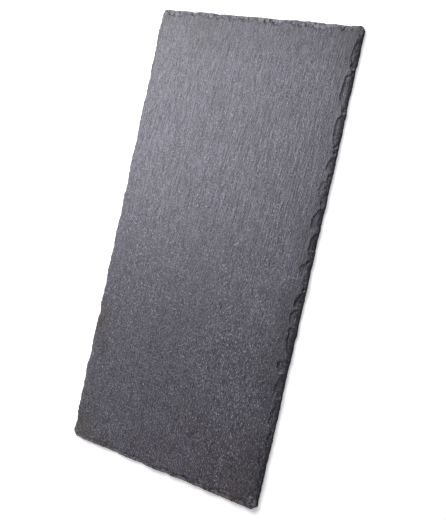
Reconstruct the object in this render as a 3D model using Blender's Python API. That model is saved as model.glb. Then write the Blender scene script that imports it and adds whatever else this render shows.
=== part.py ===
"""Slate slab: one cleft sheet of slate, trimmed to a rectangle with a slater's knife.

The slab lies on its flat back with the cleft face up, its long side along Y, and the
origin at the centre of the back. The knife comes down from the back, so the stone stays
whole there, while flakes spring off the face: each leaves a shallow scar, deepest where
the blow fell on the edge, with small ledges where it broke along the bedding planes.

The mesh starts as a fine grid for the face. Rings are lofted from the grid's border over
the dressed bevel and down the wall to the back, and a Decimate modifier then spends the
facets where the stone has shape.
"""

import bmesh
import bpy
import numpy as np

MM = 0.001

# The slab as trimmed
WIDTH = 250 * MM
LENGTH = 500 * MM
THICKNESS = 6 * MM
FACETS = 9400

# Cleft face: gentle swells and ribs that run with the grain, along Y
SWELL_HEIGHT = 0.25 * MM
SWELL_CELL = (80 * MM, 150 * MM)
RIB_HEIGHT = 0.10 * MM
RIB_CELL = (11 * MM, 50 * MM)

# Knife-dressed edge
DRESSED_BAND = 14 * MM  # the widest that a scar reaches in from the edge
NARROW_BEVEL = 3.0 * MM  # the bevel that runs all round, across the larger scars
BEVEL_DROP = 1.5 * MM
LEAST_WALL = 1.5 * MM  # thickness left at the deepest scar
LEDGE_HEIGHT = 0.5 * MM  # spacing of the bedding planes that show as ledges
LEDGE_SHARE = 0.5  # how much of a scar steps instead of sloping
RIM_WANDER = 1.5 * MM  # how far a scar's rim strays from a smooth arc
RIM_CELL = (4.0 * MM, 4.0 * MM)

# A scar from its rim to the blow: a riser, a nearly flat shelf, and a slope that steepens
RISER_WIDTH = 0.07  # as a share of the scar's reach
RISER_SHARE = 0.42  # shares of the scar's depth
SHELF_SHARE = 0.13
SLOPE_SHARE = 0.45
WALL_RAGGEDNESS = 0.3 * MM
CORNER_QUIET = 16 * MM  # the outline's waver fades out this close to a corner

# Waver of the outline: (spacing, depth) from long bows down to knife nibbles
OUTLINE_WAVER = ((60 * MM, 0.45 * MM), (9 * MM, 0.38 * MM), (3.5 * MM, 0.28 * MM))

# Snapped corners: (cut along X, cut along Y), and how far the corner's scar reaches past it
CORNER_CUTS = {
    ("left", "far"): (3 * MM, 8 * MM),
    ("right", "far"): (3 * MM, 4 * MM),
    ("left", "near"): (5 * MM, 6 * MM),
    ("right", "near"): (5 * MM, 4 * MM),
}
CORNER_SCAR = 2.4
CORNER_DROP = 2.6 * MM

# Large scars: (place, half length, reach in from the edge) in millimetres, and the lean, which
# is how far the scar shifts along its side for each millimetre it reaches in. Places on the
# long sides count from the far end, and those on the short sides from the left.
LARGE_SCARS = {
    "right": (
        (29, 14, 6.5, 0.2), (68, 20, 9, -0.3), (105, 17, 8, 0.3), (143, 9, 7.5, 0), (171, 13, 9.5, -0.6),
        (196, 13, 9.5, 0.6), (225, 13, 6, 0), (249, 10, 10, 0), (282, 8, 8, 0.2), (300, 10, 10, -0.3),
        (324, 15, 8, -0.9), (350, 8, 12, 0), (369, 11, 8.5, 0.4), (401, 13, 7, 0.3), (430, 9, 5, 0),
        (449, 11, 9.5, -0.6), (487, 12, 11, 0.2),
    ),
    "left": (
        (13, 9, 6, 0.2), (46, 15, 5, 0), (78, 12, 6, -0.4), (98, 9, 8, 0.3), (150, 18, 4.5, 0),
        (201, 12, 9, 0.3), (238, 16, 5, -0.3), (275, 12, 7, 0.2), (318, 14, 5.5, 0), (352, 10, 5, 0.5),
        (400, 12, 7.5, 0.3), (441, 17, 8.5, -0.3), (482, 10, 5, 0),
    ),
    "far": (
        (19, 11, 8, 0.4), (42, 9, 4.5, 0), (76, 4, 7, 0), (110, 13, 4.5, 0), (151, 7, 7.5, 0.3),
        (206, 11, 9, -0.4), (231, 8, 7, 0),
    ),
    "near": (
        (9, 9, 7.5, 0.2), (27, 11, 5, 0), (64, 15, 4.5, 0.3), (100, 12, 5, 0), (133, 9, 6, 0),
        (155, 9, 5.5, -0.3), (179, 6, 12, 0), (207, 13, 10, 0.3), (234, 9, 9, 0),
    ),
}

# Small scars between them, at random: (least, most) of spacing, half length and reach. The ends
# are cut across the grain, so their scars are shorter and closer together, and reach further in
SMALL_SCARS = {
    "sides": ((4 * MM, 10 * MM), (2.5 * MM, 7 * MM), (1.8 * MM, 5 * MM)),
    "ends": ((3 * MM, 6 * MM), (2 * MM, 4.5 * MM), (3 * MM, 8 * MM)),
}
SMALL_LEAN = (-1, 1)
LARGE_DROP = (1.2 * MM, 2.4 * MM)  # a large flake is thin, and leaves its shelf on one bedding plane
SMALL_DROP = (1.6 * MM, 3.2 * MM)

GRID_STEP = 1.5 * MM
RING_INSETS = tuple(i * MM for i in (13, 12, 11, 10, 9.1, 8.2, 7.3, 6.4, 5.6, 4.8, 4, 3.3, 2.6, 1.9, 1.2, 0.6, 0))
WALL_STEPS = 3


def clear_scene():
    for obj in list(bpy.data.objects):
        bpy.data.objects.remove(obj)


def ease(t):
    """0 below 0, 1 above 1, and a smooth cubic between."""
    t = np.clip(t, 0, 1)
    return t * t * (3 - 2 * t)


def waver(place, spacing, seed):
    """Smooth random line between -1 and 1, with one random value per spacing."""
    values = np.random.default_rng(seed).uniform(-1, 1, 1024)
    at = place / spacing
    left = np.floor(at).astype(int)
    share = ease(at - left)
    return values[left] * (1 - share) + values[left + 1] * share


def swell(x, y, cell, seed):
    """Smooth random surface between -1 and 1, with one random value per cell."""
    values = np.random.default_rng(seed).uniform(-1, 1, (512, 512))
    column, row = (x + WIDTH) / cell[0], (y + LENGTH) / cell[1]
    i, j = np.floor(column).astype(int), np.floor(row).astype(int)
    across, up = ease(column - i), ease(row - j)
    lower = values[j, i] * (1 - across) + values[j, i + 1] * across
    upper = values[j + 1, i] * (1 - across) + values[j + 1, i + 1] * across
    return lower * (1 - up) + upper * up


class Side:
    """One dressed side: how far along it and how far in from it a point lies, and its scars."""

    def __init__(self, name, seed):
        self.name = name
        self.seed = seed
        self.length = LENGTH if name in ("left", "right") else WIDTH
        self.scars = self.make_scars()

    def make_scars(self):
        """Rows of place, half length, reach, lean and drop for the large scars, then for the small ones."""
        dice = np.random.default_rng(self.seed)
        spacing, half_length, reach = SMALL_SCARS["sides" if self.length == LENGTH else "ends"]
        count = int(self.length / np.mean(spacing))
        large = np.array(LARGE_SCARS[self.name]) * (MM, MM, MM, 1)
        small = np.column_stack(
            [
                np.cumsum(dice.uniform(*spacing, count)),
                dice.uniform(*half_length, count),
                dice.uniform(*reach, count),
                dice.uniform(*SMALL_LEAN, count),
            ]
        )
        return [
            np.column_stack([plan, dice.uniform(*drops, len(plan))])
            for plan, drops in ((large, LARGE_DROP), (small, SMALL_DROP))
        ]

    def along(self, x, y):
        return LENGTH / 2 - y if self.length == LENGTH else x + WIDTH / 2

    def inward(self, x, y):
        """Distance in from this side's straight line."""
        if self.length == LENGTH:
            return WIDTH / 2 - x if self.name == "right" else WIDTH / 2 + x
        return LENGTH / 2 - y if self.name == "far" else LENGTH / 2 + y

    def trim(self, along):
        """How far in the trimmed outline lies from the straight line: its waver, still at the corners."""
        along = np.clip(along, 0, self.length)
        total = sum(
            depth * waver(along, spacing, self.seed + k)
            for k, (spacing, depth) in enumerate(OUTLINE_WAVER, start=1)
        )
        return total * ease(np.minimum(along, self.length - along) / CORNER_QUIET)

    def drop(self, x, y):
        """How deep this side's bevel and scars lie below the face."""
        along = self.along(x, y)
        inward = np.maximum(self.inward(x, y) - self.trim(along), 0)
        wander = RIM_WANDER * ease(inward / RIM_WANDER)
        along = along + wander * swell(x, y, RIM_CELL, seed=7)
        inward = inward + wander / 2 * swell(x, y, RIM_CELL, seed=9)
        bevel = BEVEL_DROP * np.clip(1 - inward / NARROW_BEVEL, 0, 1) ** 1.5
        large, small = (deepest_scar(scars, along, inward) for scars in self.scars)
        return np.maximum(bevel + large, small)


def scar_profile(out):
    """Depth of a scar, from 0 at its rim to 1 at the blow."""
    inside = np.clip(1 - out, 0, 1)
    return RISER_SHARE * ease(inside / RISER_WIDTH) + SHELF_SHARE * inside + SLOPE_SHARE * inside**2


def deepest_scar(scars, along, inward):
    """Depth of the deepest of these scars at each point: each is a half ellipse on its side."""
    place, half, reach, lean, depth = scars.T
    along, inward = along[:, None], inward[:, None]
    out = np.hypot((along - place - lean * inward) / half, inward / reach)
    return (depth * scar_profile(out)).max(axis=1)


def ledges(drop):
    """Turns part of a slope into steps, one for each bedding plane."""
    level = drop / LEDGE_HEIGHT
    plane = np.floor(level)
    stepped = (plane + ease((level - plane - 0.5) / 0.5)) * LEDGE_HEIGHT
    return LEDGE_SHARE * stepped + (1 - LEDGE_SHARE) * drop


SIDES = {name: Side(name, seed) for name, seed in (("right", 11), ("left", 23), ("far", 37), ("near", 53))}


def corner_distances(x, y, corner):
    """How far a point lies from a corner, along X and along Y."""
    across, end = corner
    return SIDES[across].inward(x, y), SIDES[end].inward(x, y)


def corner_drop(x, y):
    """Depth of the scars at the snapped corners."""
    deepest = np.zeros_like(x)
    for corner, (cut_x, cut_y) in CORNER_CUTS.items():
        from_side, from_end = corner_distances(x, y, corner)
        out = np.hypot(from_side / (CORNER_SCAR * cut_x), from_end / (CORNER_SCAR * cut_y))
        deepest = np.maximum(deepest, CORNER_DROP * scar_profile(out))
    return deepest


def face_height(x, y):
    """Height of the top surface anywhere in plan: the cleft face, less what the knife took off."""
    face = (
        THICKNESS
        + SWELL_HEIGHT * swell(x, y, SWELL_CELL, seed=3)
        + RIB_HEIGHT * swell(x, y, RIB_CELL, seed=5)
    )
    drop = np.max([side.drop(x, y) for side in SIDES.values()] + [corner_drop(x, y)], axis=0)
    return face - np.minimum(ledges(drop), THICKNESS - LEAST_WALL)


def trimmed_outline(x, y):
    """Moves points of the exact rectangle on to the trimmed outline, with its snapped corners."""
    trimmed = np.stack([x, y], axis=1)
    for side in SIDES.values():
        on_side = np.isclose(side.inward(x, y), 0, atol=1e-7)
        step = np.where(on_side, side.trim(side.along(x, y)), 0)
        column = 0 if side.length == LENGTH else 1
        trimmed[:, column] += step * (-1 if side.name in ("right", "far") else 1)
    for corner, (cut_x, cut_y) in CORNER_CUTS.items():
        from_side, from_end = corner_distances(x, y, corner)
        slide = np.clip(1 - from_side / cut_x - from_end / cut_y, 0, 1) / 2
        trimmed[:, 0] += slide * cut_x * (-1 if corner[0] == "right" else 1)
        trimmed[:, 1] += slide * cut_y * (-1 if corner[1] == "far" else 1)
    return trimmed


def rectangle_loop(columns, rows):
    """Grid steps (i, j) once round the border of a grid, anticlockwise from the near left corner."""
    return (
        [(i, 0) for i in range(columns)]
        + [(columns, j) for j in range(rows)]
        + [(i, rows) for i in range(columns, 0, -1)]
        + [(0, j) for j in range(rows, 0, -1)]
    )


def wall_rings(outline, top):
    """Rings down the wall, from just under the bevel to the back: parted along the bedding, so each level juts a little."""
    outwards = outline / np.linalg.norm(outline / (WIDTH, LENGTH), axis=1, keepdims=True)
    outwards /= np.linalg.norm(outwards, axis=1, keepdims=True)
    walked = np.cumsum(np.linalg.norm(np.diff(outline, axis=0, append=outline[:1]), axis=1))
    for step in range(1, WALL_STEPS + 1):
        jut = WALL_RAGGEDNESS * waver(walked, 6 * MM, seed=70 + step) * (step < WALL_STEPS)
        plan = outline - outwards * np.abs(jut)[:, None]
        yield np.column_stack([plan, top * (1 - step / WALL_STEPS)])


def loft(bm, ring, points):
    """Adds a closed ring of points outside the last one, joined to it by quads."""
    outer = [bm.verts.new(p) for p in points]
    for k in range(len(ring)):
        after = (k + 1) % len(ring)
        bm.faces.new((ring[k], outer[k], outer[after], ring[after]))
    return outer


def slab_mesh():
    """The whole stone: face grid, dressed rings, wall and flat back."""
    columns = round((WIDTH - 2 * DRESSED_BAND) / GRID_STEP)
    rows = round((LENGTH - 2 * DRESSED_BAND) / GRID_STEP)
    inner = np.array([WIDTH / 2 - DRESSED_BAND, LENGTH / 2 - DRESSED_BAND])
    x = np.linspace(-inner[0], inner[0], columns + 1)
    y = np.linspace(-inner[1], inner[1], rows + 1)

    bm = bmesh.new()
    grid_x, grid_y = (g.ravel() for g in np.meshgrid(x, y))
    heights = face_height(grid_x, grid_y)
    verts = [bm.verts.new(p) for p in zip(grid_x, grid_y, heights)]
    row = columns + 1
    for j in range(rows):
        for i in range(columns):
            k = j * row + i
            bm.faces.new((verts[k], verts[k + 1], verts[k + row + 1], verts[k + row]))

    loop = rectangle_loop(columns, rows)
    ring = [verts[j * row + i] for i, j in loop]
    inner_plan = np.array([(x[i], y[j]) for i, j in loop])
    edge_plan = inner_plan * (WIDTH / 2, LENGTH / 2) / inner
    outline = trimmed_outline(*edge_plan.T)
    for inset in RING_INSETS:
        plan = outline + (inner_plan - outline) * inset / DRESSED_BAND
        top = face_height(*plan.T)
        ring = loft(bm, ring, np.column_stack([plan, top]))
    for points in wall_rings(outline, top):
        ring = loft(bm, ring, points)
    bm.faces.new(ring[::-1])

    mesh = bpy.data.meshes.new("slate_slab")
    bm.to_mesh(mesh)
    bm.free()
    return mesh


def slate_material():
    material = bpy.data.materials.new("slate")
    material.use_nodes = True
    shader = material.node_tree.nodes["Principled BSDF"]
    shader.inputs["Base Color"].default_value = (0.105, 0.100, 0.118, 1)
    shader.inputs["Roughness"].default_value = 0.55
    shader.inputs["Metallic"].default_value = 0.0
    return material


def build_slab():
    slab = bpy.data.objects.new("slate_slab", slab_mesh())
    bpy.context.scene.collection.objects.link(slab)
    slab.data.materials.append(slate_material())
    slab.data.shade_smooth()
    slab.data.set_sharp_from_angle(angle=np.radians(30))

    slab.data.calc_loop_triangles()
    thin_out = slab.modifiers.new("Thin out facets", "DECIMATE")
    thin_out.ratio = FACETS / len(slab.data.loop_triangles)
    even_out = slab.modifiers.new("Keep large facets flat", "WEIGHTED_NORMAL")
    even_out.keep_sharp = True
    return slab


clear_scene()
build_slab()
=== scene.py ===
import bpy
import numpy as np
from mathutils import Matrix, Vector


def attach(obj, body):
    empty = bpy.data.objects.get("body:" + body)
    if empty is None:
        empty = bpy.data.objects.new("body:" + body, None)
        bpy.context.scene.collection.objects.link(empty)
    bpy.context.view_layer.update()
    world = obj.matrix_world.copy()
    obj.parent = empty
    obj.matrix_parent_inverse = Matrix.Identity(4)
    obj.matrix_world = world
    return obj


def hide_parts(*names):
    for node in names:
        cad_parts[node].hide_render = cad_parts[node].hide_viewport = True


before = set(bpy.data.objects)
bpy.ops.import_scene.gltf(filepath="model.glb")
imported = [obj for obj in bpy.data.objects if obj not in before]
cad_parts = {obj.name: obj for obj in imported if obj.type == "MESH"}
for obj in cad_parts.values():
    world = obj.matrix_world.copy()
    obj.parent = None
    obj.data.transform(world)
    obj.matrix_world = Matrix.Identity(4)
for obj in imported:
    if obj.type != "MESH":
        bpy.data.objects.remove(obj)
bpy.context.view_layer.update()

mm = 0.001

# The camera stands off the slab's right side and looks down on it, rolled so that the slab's
# far end is at the top of the picture
camera = {
    "place": (0.5086, 0.0406, 0.8120),
    "lookAt": (0.0207, -0.0098, 0.0),
    "roll": -82.58,  # degrees about the line of sight
    "lens": 61.4,  # mm
    "sensor": 36,  # mm, along the picture's long side
}


def addCamera(spec):
    made = bpy.data.objects.new("camera", bpy.data.cameras.new("camera"))
    bpy.context.scene.collection.objects.link(made)
    made.data.sensor_width = spec["sensor"]
    made.data.lens = spec["lens"]
    place = Vector(spec["place"])
    turn = (Vector(spec["lookAt"]) - place).to_track_quat("-Z", "Y").to_matrix()
    roll = Matrix.Rotation(np.radians(spec["roll"]), 3, "Z")
    made.matrix_world = Matrix.Translation(place) @ (turn @ roll).to_4x4()
    bpy.context.scene.camera = made


addCamera(camera)
print("camera placed")

# The slab as the solid has it: the same sizes, scars and seeds, so every chip is in its place
slab = {
    "width": 250 * mm,
    "length": 500 * mm,
    "thickness": 6 * mm,
    "dressedBand": 14 * mm,  # the widest that a scar reaches in from the edge
    # height, cell across and along, seed
    "swells": ((0.25 * mm, (80 * mm, 150 * mm), 3), (0.10 * mm, (11 * mm, 50 * mm), 5)),
}
edges = {
    "bevelReach": 3.0 * mm,
    "bevelDrop": 1.5 * mm,
    "bevelCurve": 1.5,  # power of the share of the reach
    "leastWall": 1.5 * mm,
    "ledgeHeight": 0.5 * mm,
    "ledgeShare": 0.5,  # how much of the slope is gathered into ledges
    "ledgeFlat": 0.5,  # share of a ledge's height before it rises to the next
    "rimWander": 1.5 * mm,
    "rimCell": (4.0 * mm, 4.0 * mm),
    "rimSeeds": (7, 9),  # along and inward
    "riserWidth": 0.07,  # share of a scar's reach
    "riserShare": 0.42,  # shares of a scar's depth
    "shelfShare": 0.13,
    "slopeShare": 0.45,
    "cornerQuiet": 16 * mm,
    # spacing and depth, coarse to fine; the solid stops before the last
    "waver": ((60 * mm, 0.45 * mm), (9 * mm, 0.38 * mm), (3.5 * mm, 0.28 * mm), (1.7 * mm, 0.2 * mm)),
    "smallScars": {  # spacing, half length and reach, each the least and most
        "sides": ((4 * mm, 10 * mm), (2.5 * mm, 7 * mm), (1.8 * mm, 5 * mm)),
        "ends": ((3 * mm, 6 * mm), (2 * mm, 4.5 * mm), (3 * mm, 8 * mm)),
    },
    "smallLean": (-1, 1),
    "largeDrop": (1.2 * mm, 2.4 * mm),
    "smallDrop": (1.6 * mm, 3.2 * mm),
    "cornerScar": 2.4,
    "cornerDrop": 2.6 * mm,
    "crest": (0.8 * mm, 0.2 * mm),  # how far round a point is looked at, and a full crest's height
    "bandMargin": 2 * mm,  # past the dressed band, where scars are still worked out
    "brokenDrop": 0.4 * mm,  # the depth by which the break's own roughness has taken over
    "flakedFade": 3 * mm,  # how soon the flaked ends set in
    "seeds": {"right": 11, "left": 23, "far": 37, "near": 53},
}
# Large scars: place along the side, half length and reach in mm, and lean
largeScars = {
    "right": (
        (29, 14, 6.5, 0.2), (68, 20, 9, -0.3), (105, 17, 8, 0.3), (143, 9, 7.5, 0), (171, 13, 9.5, -0.6),
        (196, 13, 9.5, 0.6), (225, 13, 6, 0), (249, 10, 10, 0), (282, 8, 8, 0.2), (300, 10, 10, -0.3),
        (324, 15, 8, -0.9), (350, 8, 12, 0), (369, 11, 8.5, 0.4), (401, 13, 7, 0.3), (430, 9, 5, 0),
        (449, 11, 9.5, -0.6), (487, 12, 11, 0.2),
    ),
    "left": (
        (13, 9, 6, 0.2), (46, 15, 5, 0), (78, 12, 6, -0.4), (98, 9, 8, 0.3), (150, 18, 4.5, 0),
        (201, 12, 9, 0.3), (238, 16, 5, -0.3), (275, 12, 7, 0.2), (318, 14, 5.5, 0), (352, 10, 5, 0.5),
        (400, 12, 7.5, 0.3), (441, 17, 8.5, -0.3), (482, 10, 5, 0),
    ),
    "far": (
        (19, 11, 8, 0.4), (42, 9, 4.5, 0), (76, 4, 7, 0), (110, 13, 4.5, 0), (151, 7, 7.5, 0.3),
        (206, 11, 9, -0.4), (231, 8, 7, 0),
    ),
    "near": (
        (9, 9, 7.5, 0.2), (27, 11, 5, 0), (64, 15, 4.5, 0.3), (100, 12, 5, 0), (133, 9, 6, 0),
        (155, 9, 5.5, -0.3), (179, 6, 12, 0), (207, 13, 10, 0.3), (234, 9, 9, 0),
    ),
}
# Snapped corners: how far each is cut along X and along Y
cornerCuts = {
    ("left", "far"): (3 * mm, 8 * mm),
    ("right", "far"): (3 * mm, 4 * mm),
    ("left", "near"): (5 * mm, 6 * mm),
    ("right", "near"): (5 * mm, 4 * mm),
}


def ease(t):
    # smooth cubic from 0 to 1: 3 t squared less 2 t cubed
    t = np.clip(t, 0, 1)
    return t * t * (3 - 2 * t)


# How many random values each kind of noise has to draw on, more than the slab ever reaches
noiseValues = {"line": 1024, "sheet": (512, 512)}


def lineNoise(place, spacing, seed):
    # random values one spacing apart, eased from each to the next
    values = np.random.default_rng(seed).uniform(-1, 1, noiseValues["line"])
    at = place / spacing
    left = np.floor(at).astype(int)
    share = ease(at - left)
    return values[left] * (1 - share) + values[left + 1] * share


def sheetNoise(x, y, cell, seed):
    # random values on the corners of cells, eased across and up between the four round a point
    values = np.random.default_rng(seed).uniform(-1, 1, noiseValues["sheet"])
    column, row = (x + slab["width"]) / cell[0], (y + slab["length"]) / cell[1]
    i, j = np.floor(column).astype(int), np.floor(row).astype(int)
    across, up = ease(column - i), ease(row - j)
    lower = values[j, i] * (1 - across) + values[j, i + 1] * across
    upper = values[j + 1, i] * (1 - across) + values[j + 1, i + 1] * across
    return lower * (1 - up) + upper * up


def runsAlongY(side):
    return side in ("left", "right")


def sideLength(side):
    return slab["length"] if runsAlongY(side) else slab["width"]


def alongSide(side, x, y):
    # place along a side: from the far end on the long sides, from the left on the short ones
    return slab["length"] / 2 - y if runsAlongY(side) else x + slab["width"] / 2


def inFrom(side, x, y):
    # distance in from a side's straight line
    reach = {
        "right": slab["width"] / 2 - x,
        "left": slab["width"] / 2 + x,
        "far": slab["length"] / 2 - y,
        "near": slab["length"] / 2 + y,
    }
    return reach[side]


def sideTrim(side, along):
    # how far in the outline lies: the sum of the wavers' noise times depth, fading out at the corners
    along = np.clip(along, 0, sideLength(side))
    total = sum(
        depth * lineNoise(along, spacing, edges["seeds"][side] + k)
        for k, (spacing, depth) in enumerate(edges["waver"], start=1)
    )
    return total * ease(np.minimum(along, sideLength(side) - along) / edges["cornerQuiet"])


def sideScars(side):
    # two tables, the large scars and the small ones at random: place, half length, reach, lean, drop
    dice = np.random.default_rng(edges["seeds"][side])
    spacing, halfLength, reach = edges["smallScars"]["sides" if runsAlongY(side) else "ends"]
    count = int(sideLength(side) / np.mean(spacing))
    large = np.array(largeScars[side]) * (mm, mm, mm, 1)
    small = np.column_stack(
        [
            np.cumsum(dice.uniform(*spacing, count)),
            dice.uniform(*halfLength, count),
            dice.uniform(*reach, count),
            dice.uniform(*edges["smallLean"], count),
        ]
    )
    return [
        np.column_stack([plan, dice.uniform(*edges[drops], len(plan))])
        for plan, drops in ((large, "largeDrop"), (small, "smallDrop"))
    ]


def scarProfile(out):
    # from the rim (out = 1) to the blow (out = 0), the sum of an eased riser, a shelf that falls
    # evenly, and a slope that falls as the square
    inside = np.clip(1 - out, 0, 1)
    riser = edges["riserShare"] * ease(inside / edges["riserWidth"])
    return riser + edges["shelfShare"] * inside + edges["slopeShare"] * inside**2


def deepestScar(scars, along, inward):
    # each scar is a leaning half ellipse on its side, its drop times the profile; the deepest counts
    place, half, reach, lean, depth = scars.T
    along, inward = along[:, None], inward[:, None]
    out = np.hypot((along - place - lean * inward) / half, inward / reach)
    return (depth * scarProfile(out)).max(axis=1)


def sideDrop(side, x, y):
    # the narrow bevel added to the large scars, or a small scar where it is deeper. The rims wander
    # by noise that grows from nothing at the outline
    along = alongSide(side, x, y)
    inward = np.maximum(inFrom(side, x, y) - sideTrim(side, along), 0)
    wander = edges["rimWander"] * ease(inward / edges["rimWander"])
    seedAlong, seedInward = edges["rimSeeds"]
    along = along + wander * sheetNoise(x, y, edges["rimCell"], seedAlong)
    inward = inward + wander / 2 * sheetNoise(x, y, edges["rimCell"], seedInward)
    bevel = edges["bevelDrop"] * np.clip(1 - inward / edges["bevelReach"], 0, 1) ** edges["bevelCurve"]
    large, small = (deepestScar(scars, along, inward) for scars in sideScars(side))
    return np.maximum(bevel + large, small)


def cornerDrop(x, y):
    # a quarter ellipse round each corner, larger than its cut by the same share both ways, with a
    # scar's profile
    deepest = np.zeros_like(x)
    for (side, end), (cutX, cutY) in cornerCuts.items():
        grow = edges["cornerScar"]
        out = np.hypot(inFrom(side, x, y) / (grow * cutX), inFrom(end, x, y) / (grow * cutY))
        deepest = np.maximum(deepest, edges["cornerDrop"] * scarProfile(out))
    return deepest


def ledges(drop):
    # part of each slope gathered into steps, one to a bedding plane: flat, then eased to the next
    flat = edges["ledgeFlat"]
    level = drop / edges["ledgeHeight"]
    plane = np.floor(level)
    stepped = (plane + ease((level - plane - flat) / (1 - flat))) * edges["ledgeHeight"]
    return edges["ledgeShare"] * stepped + (1 - edges["ledgeShare"]) * drop


def dressedDrop(x, y):
    # depth of all that the knife took off: the deepest of the sides and corners, with ledges, and
    # no deeper than leaves the least wall. It is worked out only in the dressed band
    drop = np.zeros_like(x)
    inward = np.min([inFrom(side, x, y) for side in edges["seeds"]], axis=0)
    near = inward < slab["dressedBand"] + edges["bandMargin"]
    x, y = x[near], y[near]
    drop[near] = np.max([sideDrop(side, x, y) for side in edges["seeds"]] + [cornerDrop(x, y)], axis=0)
    return np.minimum(ledges(drop), slab["thickness"] - edges["leastWall"])


def crests(x, y, drop):
    # how much shallower the break is at a point than on average at the four round it: 1 on the
    # ridges between scars, -1 in the angles under their rims
    step, full = edges["crest"]
    around = [dressedDrop(x + dx, y + dy) for dx, dy in ((step, 0), (-step, 0), (0, step), (0, -step))]
    return np.clip((np.mean(around, axis=0) - drop) / full, -1, 1)


# The finer surface, which only the looks have. Each grain: height, cell across and along, seed
grain = {
    "face": (
        (0.025 * mm, (2.5 * mm, 9 * mm), 101),
        (0.030 * mm, (4.3 * mm, 20 * mm), 102),
        (0.060 * mm, (9 * mm, 34 * mm), 103),
    ),
    "back": ((0.10 * mm, (9 * mm, 30 * mm), 111), (0.12 * mm, (30 * mm, 70 * mm), 112)),
    "broken": ((0.06 * mm, (1.9 * mm, 2.8 * mm), 121), (0.12 * mm, (5 * mm, 7 * mm), 122)),
    "turn": 3,  # degrees that the grain leans from the long side
    "backFade": 12 * mm,  # how far in from the edge the back's hollows are at their full depth
}
# the crest and wall marks also place the painted shade and highlight on the break and the wall
markNames = ("flaked", "crest", "wall")  # kept at each point of the mesh, for its finish


def grainHeight(kind, x, y):
    # sum of sheets of noise drawn out along the grain
    turn = np.radians(grain["turn"])
    across, along = x * np.cos(turn) + y * np.sin(turn), y * np.cos(turn) - x * np.sin(turn)
    return sum(height * sheetNoise(across, along, cell, seed) for height, cell, seed in grain[kind])


def backHeight(x, y):
    # the back stands on its highest ribs: low hollows between them, fading out at the edge
    inward = np.min([inFrom(side, x, y) for side in edges["seeds"]], axis=0)
    hollow = np.clip(grainHeight("back", x, y), 0, None)
    return hollow * ease(inward / grain["backFade"])


def faceHeight(x, y):
    # thickness, swells and grain, less the dressed edge, where the break is rougher than the face.
    # The marks, in the order of markNames: 1 where an end has flaked, 1 to -1 from the break's
    # crests to its hollows, and 0, as none of this is wall
    drop = dressedDrop(x, y)
    broken = ease(drop / edges["brokenDrop"])
    height = slab["thickness"] + sum(h * sheetNoise(x, y, cell, seed) for h, cell, seed in slab["swells"])
    rough = (1 - broken) * grainHeight("face", x, y) + broken * grainHeight("broken", x, y)
    fromEnd = np.minimum(inFrom("far", x, y), inFrom("near", x, y))
    flaked = broken * ease((slab["dressedBand"] - fromEnd) / edges["flakedFade"])
    return height + rough - drop, np.stack([flaked, broken * crests(x, y, drop), 0 * drop], axis=1)


# How finely each part is meshed: grid steps, the outline's points to each border step of the
# grid on the short and long sides, and the rings' distances in from the outline
meshing = {
    "columns": 150,
    "rows": 295,
    "perStep": (2, 2),
    "backColumns": 75,
    "backRows": 59,
    "backPerStep": (4, 10),
    "rings": np.linspace(13.2, 0, 17) * mm,
    "wallRows": 6,
    "wallJut": 0.32 * mm,
    "wallNoise": ((5 * mm, 0.6, 70), (1.8 * mm, 0.4, 90)),  # spacing, share of the jut, seed
    "undercut": 0.1 * mm,  # how far the foot of the wall leans in
    "undercutCurve": 3,  # power of the share of the way down
    "backRings": np.array([1.8, 4, 8]) * mm,
    "outlineRun": 3,  # how many points each way the outline's direction is taken over
    "sharp": 35,  # degrees past which an edge is shaded as sharp
}


def gridSheet(columns, rows, inner):
    # points of a flat grid from -inner to inner, and its quads
    x = np.linspace(-inner[0], inner[0], columns + 1)
    y = np.linspace(-inner[1], inner[1], rows + 1)
    x, y = np.meshgrid(x, y)
    i, j = (g.ravel() for g in np.meshgrid(np.arange(columns), np.arange(rows)))
    corner = j * (columns + 1) + i
    quads = np.stack([corner, corner + 1, corner + columns + 2, corner + columns + 1], axis=1)
    return np.column_stack([x.ravel(), y.ravel()]), quads


def borderLoop(columns, rows):
    # numbers of a grid's border points, once round from the near left corner, anticlockwise
    width = columns + 1
    return np.concatenate(
        [
            np.arange(columns),
            np.arange(rows) * width + columns,
            rows * width + np.arange(columns, 0, -1),
            np.arange(rows, 0, -1) * width,
        ]
    )


def outlineLoop(columns, rows, perStep):
    # a rectangle once round, in shares of its half width and half length, with perStep points to
    # each border step of a grid
    short = np.linspace(-1, 1, columns * perStep[0], endpoint=False)
    long = np.linspace(-1, 1, rows * perStep[1], endpoint=False)
    one, other = np.ones_like(short), np.ones_like(long)
    x = np.concatenate([short, other, -short, -other])
    y = np.concatenate([-one, long, one, -long])
    return np.stack([x, y], axis=1)


def trimmedOutline(plan):
    # each point moved in by its side's waver, and cut back where a corner is snapped off
    x, y = plan.T
    trimmed = plan.copy()
    for side in edges["seeds"]:
        onSide = np.isclose(inFrom(side, x, y), 0, atol=1e-7)
        step = np.where(onSide, sideTrim(side, alongSide(side, x, y)), 0)
        trimmed[:, 0 if runsAlongY(side) else 1] += step * (-1 if side in ("right", "far") else 1)
    for (side, end), (cutX, cutY) in cornerCuts.items():
        slide = np.clip(1 - inFrom(side, x, y) / cutX - inFrom(end, x, y) / cutY, 0, 1) / 2
        trimmed[:, 0] += slide * cutX * (-1 if side == "right" else 1)
        trimmed[:, 1] += slide * cutY * (-1 if end == "far" else 1)
    return trimmed


def strip(first, second):
    # quads from one closed ring of points to the next, with as many points
    return np.stack([first, second, np.roll(second, -1), np.roll(first, -1)], axis=1)


def stitch(coarse, fine, counts):
    # faces from a coarse ring to a fine one, where step k of the coarse meets counts[k] of the fine
    starts = np.concatenate([[0], np.cumsum(counts)[:-1]])
    faces = []
    for count in np.unique(counts):
        chosen = counts == count
        span = fine[(starts[chosen, None] + np.arange(count + 1)) % len(fine)]
        faces += np.column_stack([coarse[chosen], span, np.roll(coarse, -1)[chosen]]).tolist()
    return faces


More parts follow.
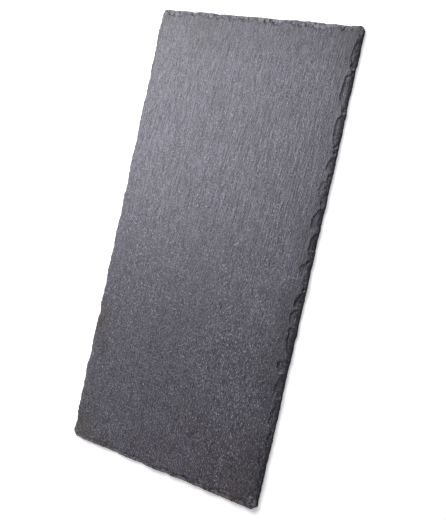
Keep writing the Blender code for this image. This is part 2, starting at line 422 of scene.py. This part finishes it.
def stepCounts(columns, rows, perStep):
    # how many of the outline's steps meet each border step of a grid, once round
    return np.repeat(perStep * 2, (columns, rows) * 2)


def outwardOf(outline, steps):
    # unit vectors out of the slab, square to the run from so many steps before to as many after
    run = np.roll(outline, -steps, axis=0) - np.roll(outline, steps, axis=0)
    out = np.stack([run[:, 1], -run[:, 0]], axis=1)
    return out / np.linalg.norm(out, axis=1, keepdims=True)


def slabPoints():
    # the whole surface, closed: face grid, dressed rings, wall rows, back rings and back grid
    spec = meshing
    half = np.array([slab["width"], slab["length"]]) / 2
    inner = half - slab["dressedBand"]
    rectangle = outlineLoop(spec["columns"], spec["rows"], spec["perStep"])
    outline = trimmedOutline(rectangle * half)
    out = outwardOf(outline, spec["outlineRun"])
    walked = np.cumsum(np.linalg.norm(np.diff(outline, axis=0, append=outline[:1]), axis=1))
    points, marks = [], []

    def add(plan, height, marked):
        # one more grid or ring of points; gives their numbers
        first = sum(len(part) for part in points)
        points.append(np.column_stack([plan, height]))
        marks.append(np.broadcast_to(marked, (len(plan), len(markNames))))
        return first + np.arange(len(plan))

    def ringPlan(inset):
        # part of the way from the outline to the inner rectangle
        return outline + (rectangle * inner - outline) * inset / slab["dressedBand"]

    plan, quads = gridSheet(spec["columns"], spec["rows"], inner)
    add(plan, *faceHeight(*plan.T))
    faces = quads.tolist()
    last = borderLoop(spec["columns"], spec["rows"])
    for k, inset in enumerate(spec["rings"]):
        plan = ringPlan(inset)
        top, marked = faceHeight(*plan.T)
        ring = add(plan, top, marked)
        if k == 0:
            faces += stitch(last, ring, stepCounts(spec["columns"], spec["rows"], spec["perStep"]))
        else:
            faces += strip(last, ring).tolist()
        last = ring

    # each wall row juts in by its own noise, and by more towards the foot
    for k in range(1, spec["wallRows"] + 1):
        down = k / spec["wallRows"]
        noises = [part * np.abs(lineNoise(walked, gap, seed + k)) for gap, part, seed in spec["wallNoise"]]
        jut = sum(noises) * spec["wallJut"] + spec["undercut"] * down ** spec["undercutCurve"]
        ring = add(outline - out * jut[:, None], top * (1 - down), marked + (0, 0, 1))
        faces += strip(last, ring).tolist()
        last = ring

    for inset in spec["backRings"]:
        plan = ringPlan(inset)
        ring = add(plan, backHeight(*plan.T), 0)
        faces += strip(last, ring).tolist()
        last = ring

    plan, quads = gridSheet(spec["backColumns"], spec["backRows"], inner)
    first = add(plan, backHeight(*plan.T), 0)[0]
    faces += (quads[:, ::-1] + first).tolist()
    border = borderLoop(spec["backColumns"], spec["backRows"]) + first
    counts = stepCounts(spec["backColumns"], spec["backRows"], spec["backPerStep"])
    faces += [face[::-1] for face in stitch(border, last, counts)]
    return np.concatenate(points), dict(zip(markNames, np.concatenate(marks).T)), faces


def addSlab():
    points, marks, faces = slabPoints()
    mesh = bpy.data.meshes.new("slate_slab_riven")
    mesh.from_pydata(points.tolist(), [], faces)
    for name, values in marks.items():
        mesh.attributes.new(name, "FLOAT", "POINT").data.foreach_set("value", values)
    mesh.shade_smooth()
    mesh.set_sharp_from_angle(angle=np.radians(meshing["sharp"]))
    mesh.calc_loop_triangles()
    made = bpy.data.objects.new("slate_slab_riven", mesh)
    bpy.context.scene.collection.objects.link(made)
    print("slab:", len(mesh.vertices), "points,", len(mesh.loop_triangles), "triangles")
    return made


stone = addSlab()


def linear(colour):
    # sRGB hex to linear, each channel by the standard's curve
    values = [int(colour[k : k + 2], 16) / 255 for k in (1, 3, 5)]
    return [v / 12.92 if v <= 0.04045 else ((v + 0.055) / 1.055) ** 2.4 for v in values] + [1]


def addNode(tree, kind, settings, inputs):
    # one node: its settings, and its inputs by name or number, each a value or another node's output
    node = tree.nodes.new(kind)
    for name, value in settings.items():
        setattr(node, name, value)
    for name, value in inputs.items():
        if isinstance(value, bpy.types.NodeSocket):
            tree.links.new(value, node.inputs[name])
        else:
            node.inputs[name].default_value = value
    return node


# Riven slate, split by hand along its cleavage: the split face is a felt of flat mica scales drawn
# out along the grain, so it has a faint silky sheen, short streaks and tiny pale flecks. Where the
# knife broke across the beds, the break has painted shade in its hollows and a painted highlight on
# its crests, the ends are flaked, and the wall is matt, its colour a little darker as painted shade
slate = {
    "dark": "#0b0a0c",
    "light": "#53505b",
    "warmTint": "#fffff8",
    "fleck": "#a6a4ab",
    # dark of the flaked ends' mottling, and the painted shade in the break's hollows
    "flakeDarkAndShade": "#070708",
    # pale of the flaked ends' mottling, and the painted highlight on the break's crests
    "flakePaleAndHighlight": "#7a7780",
    # painted shade: the wall's colour is darkened to stand in for the shade it stands in
    "wallShade": "#a8a8a8",
    "roughFace": (0.55, 0.40),  # in the hollows and on the crests of the streaks
    "roughFleck": 0.85,
    "roughWall": 0.85,
    "shine": (0.5, 0.2),  # specular level, of the face and of the wall
    "ior": 1.57,
    # patterns drawn out along the grain: size across it, along it and through the beds, and detail
    "streak": ((1.05 * mm, 12 * mm, 1.05 * mm), 1.5),
    "rib": ((1.7 * mm, 34 * mm, 1.7 * mm), 1),
    "grit": ((0.95 * mm, 1.9 * mm, 0.95 * mm), 1),
    "flecks": ((0.6 * mm, 2.4 * mm, 0.6 * mm), 1),
    "flakes": ((3 * mm, 3 * mm, 1.4 * mm), 2),  # at the ends, lying along the beds
    # patterns as wide as they are long: size and detail
    "blotch": (60 * mm, 4),
    "warm": (60 * mm / 0.7, 3),
    "wave": (12 * mm, 3),  # the bends in the grain
    "bend": 2.2 * mm,  # how far they push a streak aside
    # the noise values from which and up to which a thing sets in
    "streakEdge": (0.35, 0.65),
    "fleckEdge": (0.61, 0.70),
    "warmEdge": (0.4, 0.6),
    "flakeEdge": (0.40, 0.58),
    # the edges and raggedness serve stains and patches of painted shade alike
    "patchEdge": (1.1, 0.4),  # distances, in shares of a stain's half size
    "patchRagged": 1.6,  # how much the blotches push them
    "fleckShare": (0.9, 0.46),  # at the near end and at the far end
    "flakeShare": 0.8,
    # through the crest mark, crests get painted highlight and hollows painted shade
    "crestShare": 0.25,  # how much a crest counts against the flakes' noise
    "hollowShade": 0.8,
    "crestHighlight": 0.4,
    # how much each pattern moves the colour between dark and light
    "tone": {"streak": 1.4, "grit": 2.1, "blotch": 0.25},
    # height of each pattern in mm
    "bump": {"streak": 0.37, "rib": 0.32, "grit": 0.26, "flakes": 1.2},
}
# Old stains and patches of painted shade: place and half size in mm, and the colour each multiplies by
stainsAndShade = (
    # a damp brown stain at the far end, deepened as painted shade where that end is darker
    ((-60, 262), (120, 60), "#dbdad2"),  # damp brown along the far end
    # painted shade, darkening the far right corner
    ((135, 262), (85, 75), "#a8a6a6"),
    ((-80, 195), (75, 85), "#fcfbf5"),
    # painted shade down the right side
    ((142, -30), (50, 330), "#cacaca"),  # darker down the right side
    ((70, -235), (130, 70), "#f8f0f1"),  # a little iron red
    ((-118, -238), (30, 22), "#f0ecd8"),
    ((-124, -110), (20, 34), "#f4f0dc"),
    ((-81, -250), (16, 12), "#eee6d8"),
    ((95, -250), (18, 12), "#f2e8e0"),
)


def rivenSlate(spec):
    material = bpy.data.materials.new("riven slate")
    material.use_nodes = True
    tree = material.node_tree
    shader = tree.nodes["Principled BSDF"]

    def node(kind, settings, inputs, output=0):
        return addNode(tree, "ShaderNode" + kind, settings, inputs).outputs[output]

    def mark(name):
        return node("Attribute", {"attribute_name": name}, {}, "Fac")

    def vector(operation, first, second):
        return node("VectorMath", {"operation": operation}, {0: first, 1: second})

    def times(first, second):
        return node("Math", {"operation": "MULTIPLY"}, {0: first, 1: second})

    def timesPlus(first, second, third):
        return node("Math", {"operation": "MULTIPLY_ADD"}, {0: first, 1: second, 2: third})

    def ranged(value, source, target):
        # value carried evenly from one range to the other, and held at the other's ends
        ends = {1: source[0], 2: source[1], 3: target[0], 4: target[1]}
        return node("MapRange", {}, {"Value": value, **ends})

    def between(share, first, second):
        return node("Mix", {}, {0: share, 2: first, 3: second})

    def coloured(share, first, second, blend="MIX"):
        return node("Mix", {"data_type": "RGBA", "blend_type": blend}, {0: share, 6: first, 7: second}, 2)

    def noise(place, scale, detail, output=0):
        return node("TexNoise", {}, {"Vector": place, "Scale": scale, "Detail": detail}, output)

    def drawnOut(place, size, detail, degrees=-grain["turn"]):
        # noise as long along each axis as size says, turned to lie with the grain
        inputs = {"Vector": place, "Rotation": (0, 0, np.radians(degrees)), "Scale": size}
        return noise(node("Mapping", {"vector_type": "TEXTURE"}, inputs), 1, detail)

    place = node("TexCoord", {}, {}, "Object")
    wall, flaked, crest = mark("wall"), mark("flaked"), mark("crest")

    # the grain bends a little: coordinates pushed aside by a slow noise
    size, detail = spec["wave"]
    push = vector("SUBTRACT", noise(place, 1 / size, detail, "Color"), (0.5, 0.5, 0.5))
    bent = vector("ADD", place, vector("MULTIPLY", push, (spec["bend"], 0, 0)))

    patterns = {name: drawnOut(bent, *spec[name]) for name in ("streak", "rib", "grit")}
    size, detail = spec["blotch"]
    patterns["blotch"] = noise(place, 1 / size, detail)
    size, detail = spec["warm"]
    warm = ranged(noise(bent, 1 / size, detail), spec["warmEdge"], (0, 1))
    flakes = drawnOut(place, *spec["flakes"], degrees=0)
    patterns["flakes"] = times(flakes, flaked)

    # the flecks thin out towards the far end
    lengthwise = node("SeparateXYZ", {}, {0: place}, "Y")
    half = slab["length"] / 2
    share = ranged(lengthwise, (-half, half), spec["fleckShare"])
    flecks = times(ranged(drawnOut(bent, *spec["flecks"]), spec["fleckEdge"], (0, 1)), share)

    # dark to light by the sum of the patterns, which lies midway where each of them does
    tone = 0.5 - 0.5 * sum(spec["tone"].values())
    for name, most in spec["tone"].items():
        tone = timesPlus(patterns[name], most, tone)
    colour = coloured(tone, linear(spec["dark"]), linear(spec["light"]))
    colour = coloured(warm, colour, linear(spec["warmTint"]), "MULTIPLY")
    colour = coloured(flecks, colour, linear(spec["fleck"]))

    # the flakes' random mottling, with a painted highlight on the break's crests and painted shade in its
    # hollows
    edge = ranged(timesPlus(crest, spec["crestShare"], flakes), spec["flakeEdge"], (0, 1))
    edge = coloured(edge, linear(spec["flakeDarkAndShade"]), linear(spec["flakePaleAndHighlight"]))
    colour = coloured(times(flaked, spec["flakeShare"]), colour, edge)

    # painted shade in the hollows of the break, and a painted highlight on its crests
    shade = ranged(crest, (0, -1), (0, spec["hollowShade"]))
    colour = coloured(shade, colour, linear(spec["flakeDarkAndShade"]))
    crestLight = ranged(crest, (0, 1), (0, spec["crestHighlight"]))
    colour = coloured(crestLight, colour, linear(spec["flakePaleAndHighlight"]))

    # each stain or patch of painted shade is strongest in the middle and fades out raggedly: distance
    # from it, pushed by the blotches
    ragged = timesPlus(patterns["blotch"], spec["patchRagged"], -spec["patchRagged"] / 2)
    for (x, y), (halfX, halfY), tint in stainsAndShade:
        off = vector("SUBTRACT", place, (x * mm, y * mm, 0))
        off = vector("MULTIPLY", off, (1 / (halfX * mm), 1 / (halfY * mm), 0))
        off = node("VectorMath", {"operation": "LENGTH"}, {0: off}, "Value")
        off = node("Math", {"operation": "ADD"}, {0: off, 1: ragged})
        colour = coloured(ranged(off, spec["patchEdge"], (0, 1)), colour, linear(tint), "MULTIPLY")
    # painted shade on the wall
    colour = coloured(wall, colour, linear(spec["wallShade"]), "MULTIPLY")
    tree.links.new(colour, shader.inputs["Base Color"])

    rough = ranged(patterns["streak"], spec["streakEdge"], spec["roughFace"])
    rough = between(flecks, rough, spec["roughFleck"])
    tree.links.new(between(wall, rough, spec["roughWall"]), shader.inputs["Roughness"])
    tree.links.new(between(wall, *spec["shine"]), shader.inputs["Specular IOR Level"])

    height = 0
    for name, most in spec["bump"].items():
        height = timesPlus(patterns[name], most, height)
    bump = node("Bump", {}, {"Height": height, "Distance": mm})
    tree.links.new(bump, shader.inputs["Normal"])
    shader.inputs["IOR"].default_value = spec["ior"]
    return material


stone.data.materials.append(rivenSlate(slate))
print("slate finished")

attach(stone, "root")
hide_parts("slate_slab")

# Soft square lights: azimuth from +X and height above the floor in degrees, distance, side, watts,
# colour
lights = {
    "key": (152, 42, 0.55, 0.5, 4.6, "#f5f5ff"),
    "far": (98, 35, 1.5, 1.2, 24, "#f8f8ff"),
    "left": (210, 20, 1.5, 0.8, 3.6, "#fffffa"),
    "near": (270, 25, 1.5, 0.8, 4.2, "#fffffa"),
}


def addLight(name, spec):
    # the light on a sphere round the slab's middle, turned to face it
    azimuth, height, distance, size, power, colour = spec
    azimuth, height = np.radians((azimuth, height))
    aside, up = np.cos(height), np.sin(height)
    place = Vector((np.cos(azimuth) * aside, np.sin(azimuth) * aside, up)) * distance
    light = bpy.data.lights.new(name, "AREA")
    light.size = size
    light.energy = power
    light.color = linear(colour)[:3]
    made = bpy.data.objects.new(name, light)
    turn = (-place).to_track_quat("-Z", "Y").to_matrix()
    made.matrix_world = Matrix.Translation(place) @ turn.to_4x4()
    made.visible_camera = False
    bpy.context.scene.collection.objects.link(made)


for name, spec in lights.items():
    addLight(name, spec)
print("lights placed")

# A light table's opal sheet, glowing a little so that it stays white under the soft lights
table = {"size": 8, "colour": "#fbfbfb", "rough": 0.9, "glow": 0.3, "glowColour": "#ffffff"}
studio = {"colour": "#f2f3f5", "strength": 0.05}


def addFloor(spec):
    half = spec["size"] / 2
    corners = [(-half, -half, 0), (half, -half, 0), (half, half, 0), (-half, half, 0)]
    mesh = bpy.data.meshes.new("floor")
    mesh.from_pydata(corners, [], [(0, 1, 2, 3)])
    opal = bpy.data.materials.new("opal light table")
    opal.use_nodes = True
    shader = opal.node_tree.nodes["Principled BSDF"]
    shader.inputs["Base Color"].default_value = linear(spec["colour"])
    shader.inputs["Roughness"].default_value = spec["rough"]
    shader.inputs["Emission Color"].default_value = linear(spec["glowColour"])
    shader.inputs["Emission Strength"].default_value = spec["glow"]
    mesh.materials.append(opal)
    made = bpy.data.objects.new("floor", mesh)
    bpy.context.scene.collection.objects.link(made)


def addWorld(spec):
    world = bpy.data.worlds.new("studio")
    world.use_nodes = True
    background = world.node_tree.nodes["Background"]
    background.inputs["Color"].default_value = linear(spec["colour"])
    background.inputs["Strength"].default_value = spec["strength"]
    bpy.context.scene.world = world


addFloor(table)
addWorld(studio)
bpy.context.scene.view_settings.view_transform = "Standard"
print("studio ready")
